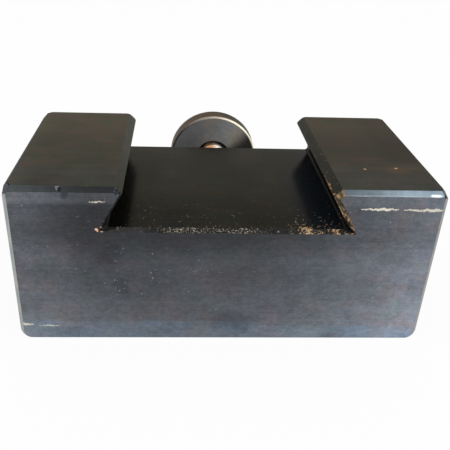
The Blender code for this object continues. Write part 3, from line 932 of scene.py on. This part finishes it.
def body_face_group(face):
    """Which finish a face of the body takes, by its place and normal."""
    normal, centre = face.normal, face.center
    near_top = centre.z > EAR_Z - CHAMFER_ZONE
    facet = abs(normal.x) > 0.3 and abs(normal.y) > 0.2
    in_dovetail = abs(centre.x) < DOVETAIL_HALF_WIDTH and centre.z > FLOOR_Z - MM
    if normal.z > STRAIGHT and centre.z > EAR_Z - TOUCHING:
        return "ear_top"
    if normal.z > STRAIGHT and in_dovetail:
        return "floor"
    if normal.y < -STRAIGHT and centre.y < NEAR_Y + TOUCHING:
        return "near_face"
    if near_top and normal.z > 0.3:
        if facet:
            return "corner"
        if abs(normal.y) > 0.4:
            return "chamfer"
        return "lip" if in_dovetail else "end_chamfer"
    if in_dovetail:
        return "flank" if abs(normal.y) < 0.3 else "mouth"
    if normal.y < -0.4 and abs(normal.x) > 0.4:
        return "strip"
    return "side"


def bevel_chosen(piece, chosen, width, segments):
    """Bevel the edges whose two ends are chosen by their places."""
    places = [vertex.co.copy() for vertex in piece.data.vertices]
    pick_parts(piece, "EDGE", lambda edge: chosen(*(places[i] for i in edge.vertices)))
    bpy.ops.mesh.bevel(offset=width, segments=segments, affect="EDGES", clamp_overlap=True)
    bpy.ops.object.mode_set(mode="OBJECT")


def cut_flats(piece, planes):
    """Cut away what lies past each plane, given as a place and a way out, and close the cuts."""
    pick_only(piece)
    bpy.ops.object.mode_set(mode="EDIT")
    for place, way in planes:
        bpy.ops.mesh.select_all(action="SELECT")
        bpy.ops.mesh.bisect(plane_co=place, plane_no=way, use_fill=True, clear_outer=True)
    bpy.ops.object.mode_set(mode="OBJECT")


def along_floor_corner(start, end):
    """Where the dovetail's floor meets its lands."""
    at_floor = all(FLOOR_Z - MM < point.z < FLOOR_Z + 0.05 * MM for point in (start, end))
    at_side = all(DOVETAIL_LAND - TOUCHING < abs(point.x) < DOVETAIL_HALF_WIDTH for point in (start, end))
    return at_floor and at_side and start.x * end.x > 0 and abs(start.y - end.y) > 0.5 * MM


def on_back_lip(vertex):
    """The two corners at the back end of each lip's chamfer."""
    side_low, side_high = BACK_LIP_SIDE
    reach_low, reach_high = BACK_LIP_REACH
    at_lip = side_low < abs(vertex.co.x) < side_high and vertex.co.z > BACK_LIP_LOW
    return at_lip and reach_low < BODY_HIGH.y - vertex.co.y < reach_high


def round_back_lips(body):
    pick_parts(body, "VERT", on_back_lip)
    bpy.ops.mesh.bevel(offset=BACK_LIP_ROUNDING, segments=4, affect="VERTICES", clamp_overlap=True)
    bpy.ops.object.mode_set(mode="OBJECT")


def on_back_corner(start, end):
    """Upright and slanting edges of the flats cut at the back corners."""
    reach = BODY_HIGH.x + BODY_HIGH.y - BACK_CORNER_CUT
    on_flat = all(abs(abs(point.x) + point.y - reach) < 0.01 * MM for point in (start, end))
    return on_flat and abs(start.z - end.z) > 0.3 * MM


def round_back_corners(body):
    """Round the two upright corners at the back: a flat across each, then its edges."""
    reach = BODY_HIGH.x - BACK_CORNER_CUT
    cut_flats(body, [((side * reach, BODY_HIGH.y, 0), (side, 1, 0)) for side in (-1, 1)])
    bevel_chosen(body, on_back_corner, BACK_CORNER_ROUNDING, 4)


def on_mouth_outline(place, side, low, high):
    """Corners of the mouth's outline on the near face, on one side and between two heights."""
    on_near_face = place.y < NEAR_Y + 0.5 * TOUCHING
    at_side = MOUTH_SIDE[0] < side * place.x < MOUTH_SIDE[1]
    return on_near_face and at_side and low * MM < place.z < high * MM


def file_mouth(body):
    """Move the corners of the mouth's outline to where they were filed."""
    for side, low, high, step_x, step_z in FILED_MOUTH:
        pick_parts(body, "VERT", lambda vertex: on_mouth_outline(vertex.co, side, low, high))
        bpy.ops.transform.translate(value=(step_x * MM, 0, step_z * MM))
        bpy.ops.object.mode_set(mode="OBJECT")


def lies_on(place, way):
    """A test for edges that lie on a plane."""
    return lambda start, end: all(abs((point - place).dot(way)) < 2 * SAME_PLACE for point in (start, end))


def file_ear_corners(body):
    """File a flat on the outer near corner of each ear, and soften its edges."""
    for way, depth in FILED_EAR_CORNERS:
        side = 1 if way.x > 0 else -1
        place = Vector((side * BODY_HIGH.x, NEAR_Y, EAR_Z)) - way * depth
        cut_flats(body, [(place, way)])
        bevel_chosen(body, lies_on(place, way), FILED_ROUNDING, 2)


def make_body():
    finishes = {
        "side": side_finish(),
        "near_face": near_face_finish(),
        "ear_top": ear_top_finish(),
        "floor": floor_finish(),
        "flank": flank_finish(),
        "lip": lip_finish(),
        "chamfer": chamfer_finish(),
        "end_chamfer": end_chamfer_finish(),
        "corner": corner_finish(),
        "strip": strip_finish(),
        "mouth": mouth_finish(),
        "edge": edge_finish(),
    }
    order = list(finishes)
    body = merged_copy("holder_body", "milled_holder_body")
    for material in finishes.values():
        body.data.materials.append(material)
    file_mouth(body)
    file_ear_corners(body)
    round_back_corners(body)
    bevel_chosen(body, along_floor_corner, CORNER_FILLET, 4)
    round_back_lips(body)
    break_edges(body, BODY_EDGE, order.index("edge"))
    for face in body.data.polygons:
        if face.material_index != order.index("edge"):
            face.material_index = order.index(body_face_group(face))
    smooth(body)
    dress(body, "holder_body", "holder")


def height_nut_face_group(face):
    """Which finish a face of the height nut takes."""
    centre, normal = face.center, face.normal
    radius = Vector((centre.x - STUD_CENTRE.x, 0, centre.z - STUD_CENTRE.z)).length
    if centre.y > NUT_LOW.y + FLANGE_THICKNESS + NUT_TOUCHING and radius > BORE_MOUTH_RADIUS:
        return "knurl"
    if abs(normal.y) > 0.995:
        return "face"
    if radius < BORE_MOUTH_RADIUS:
        return "bore"
    return "rim" if abs(normal.y) < 0.2 else "flange_edge"


def on_flange_edge(start, end):
    """The circle where the flange's near face meets its chamfer."""
    inner = FLANGE_RADIUS - FLANGE_CHAMFER
    return all(
        point.y < NUT_LOW.y + NUT_TOUCHING
        and abs(Vector((point.x - STUD_CENTRE.x, 0, point.z - STUD_CENTRE.z)).length - inner) < 0.05 * MM
        for point in (start, end))


def make_height_nut():
    finishes = {
        "face": flange_face_finish(),
        "rim": flange_rim_finish(),
        "flange_edge": flange_edge_finish(),
        "knurl": knurl_finish(),
        "bore": bore_finish(),
    }
    order = list(finishes)
    nut = merged_copy("height_nut", "knurled_height_nut")
    for material in finishes.values():
        nut.data.materials.append(material)
    bevel_chosen(nut, on_flange_edge, FLANGE_ROUNDING, 3)
    break_edges(nut, NUT_EDGE, order.index("knurl"))
    for face in nut.data.polygons:
        face.material_index = order.index(height_nut_face_group(face))
    smooth(nut)
    dress(nut, "height_nut", "nut")


def make_lock_nut():
    nut = merged_copy("lock_nut", "hexagon_lock_nut")
    nut.data.materials.append(lock_nut_finish())
    nut.data.materials.append(bright_edge_finish())
    break_edges(nut, NUT_EDGE, 1)
    smooth(nut)
    dress(nut, "lock_nut", "lock")


def make_threaded(node, name, material, pitch):
    """Copy of a CAD node with a real thread cut on it."""
    piece = merged_copy(node, name)
    piece.data.materials.append(material)
    cut_thread(piece, node, pitch)
    smooth(piece)
    return piece


def make_stud():
    stud = make_threaded("height_stud", "threaded_height_stud", stud_finish(), STUD_PITCH)
    dress(stud, "height_stud", "holder")


def make_screws():
    """Model one clamp screw, and copy it into the other holes."""
    model_node = f"clamp_screw_{MODELLED_SCREW}"
    model = make_threaded(model_node, f"socket_screw_{MODELLED_SCREW}", screw_finish(), SCREW_PITCH)
    model_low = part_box(model_node)[0]
    for number in range(1, SCREW_COUNT + 1):
        node = f"clamp_screw_{number}"
        screw = model
        if number != MODELLED_SCREW:
            screw = bpy.data.objects.new(f"socket_screw_{number}", model.data.copy())
            bpy.context.collection.objects.link(screw)
            pick_only(screw)
            screw.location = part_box(node)[0] - model_low
            bpy.ops.object.transform_apply(location=True, rotation=True, scale=True)
        dress(screw, node, f"screw_{number}")


make_body()
make_stud()
make_height_nut()
make_lock_nut()
make_screws()


# Studio

WORLD_LIGHT = 0.75
FLOOR_GLOW = 0.94
FLOOR_SIZE = 4.0
FLOOR_COLOUR = (0.85, 0.85, 0.85, 1)
FLOOR_ROUGHNESS = 0.9
# Lamps: name, place from the body, size, watts
LAMPS = [
    ("key_lamp", Vector((0.45, -0.55, 0.90)), 0.80, 3.0),
    ("right_lamp", Vector((0.85, -0.25, 0.40)), 0.50, 0.9),
    ("left_fill", Vector((-0.70, -0.50, 0.60)), 0.80, 1.2),
]


def seen_by_eye_or_gloss(shading):
    """1 for rays from the camera and for reflected and refracted ones, which see the backdrop."""
    rays = ("Is Camera Ray", "Is Glossy Ray", "Is Transmission Ray")
    return strongest([shading.node("ShaderNodeLightPath", output=ray) for ray in rays])


def make_world():
    studio = Shading(bpy.data.worlds.new("white_studio"))
    light = studio.nodes["Background"]
    studio.feed(light.inputs["Color"], (1, 1, 1, 1))
    strength = WORLD_LIGHT + (1 - WORLD_LIGHT) * seen_by_eye_or_gloss(studio)
    studio.feed(light.inputs["Strength"], strength)
    bpy.context.scene.world = studio.owner


def make_floor():
    bpy.ops.object.select_all(action="DESELECT")
    bpy.ops.mesh.primitive_plane_add(size=FLOOR_SIZE, location=(0, 0, 0))
    floor = bpy.context.object
    floor.name = "pale_floor"
    paint = Shading(bpy.data.materials.new("pale_floor"))
    matte = paint.nodes["Principled BSDF"]
    paint.feed(matte.inputs["Base Color"], FLOOR_COLOUR)
    paint.feed(matte.inputs["Roughness"], FLOOR_ROUGHNESS)
    glowing = seen_by_eye_or_gloss(paint) * FLOOR_GLOW
    shaders = {0: glowing, 1: Value(paint, matte.outputs[0]), 2: paint.node("ShaderNodeEmission")}
    blend = paint.node("ShaderNodeMixShader", inputs=shaders)
    paint.feed(paint.nodes["Material Output"].inputs["Surface"], blend)
    floor.data.materials.append(paint.owner)


def make_lamps():
    target = Vector((0, NEAR_Y / 2, EAR_Z / 2))
    for name, offset, size, watts in LAMPS:
        data = bpy.data.lights.new(name, "AREA")
        data.shape = "DISK"
        data.size = size
        data.energy = watts
        lamp = bpy.data.objects.new(name, data)
        lamp.location = target + offset
        lamp.rotation_euler = (-offset).to_track_quat("-Z", "Y").to_euler()
        bpy.context.collection.objects.link(lamp)


def make_camera():
    """Camera at the photograph's place, with its optical axis off the picture's centre."""
    forward = Vector((
        sin(CAMERA_YAW) * cos(CAMERA_PITCH),
        cos(CAMERA_YAW) * cos(CAMERA_PITCH),
        -sin(CAMERA_PITCH),
    ))
    level = Vector((cos(CAMERA_YAW), -sin(CAMERA_YAW), 0))
    upright = level.cross(forward)
    right = cos(CAMERA_ROLL) * level + sin(CAMERA_ROLL) * upright
    up = -sin(CAMERA_ROLL) * level + cos(CAMERA_ROLL) * upright
    data = bpy.data.cameras.new("photo_camera")
    data.sensor_width = SENSOR_MM
    data.lens = FOCAL_PX / PHOTO_SIZE * SENSOR_MM
    data.shift_x = (PHOTO_SIZE / 2 - OPTICAL_AXIS_PX[0]) / PHOTO_SIZE
    data.shift_y = (OPTICAL_AXIS_PX[1] - PHOTO_SIZE / 2) / PHOTO_SIZE
    data.clip_start = MM
    camera = bpy.data.objects.new("photo_camera", data)
    turn = Matrix((right, up, -forward)).transposed().to_4x4()
    place = Vector((0, NEAR_Y, 0)) + CAMERA_FROM_NEAR_EDGE
    camera.matrix_world = Matrix.Translation(place) @ turn
    bpy.context.collection.objects.link(camera)
    bpy.context.scene.camera = camera


make_world()
make_floor()
make_lamps()
make_camera()
bpy.context.scene.view_settings.view_transform = "Standard"
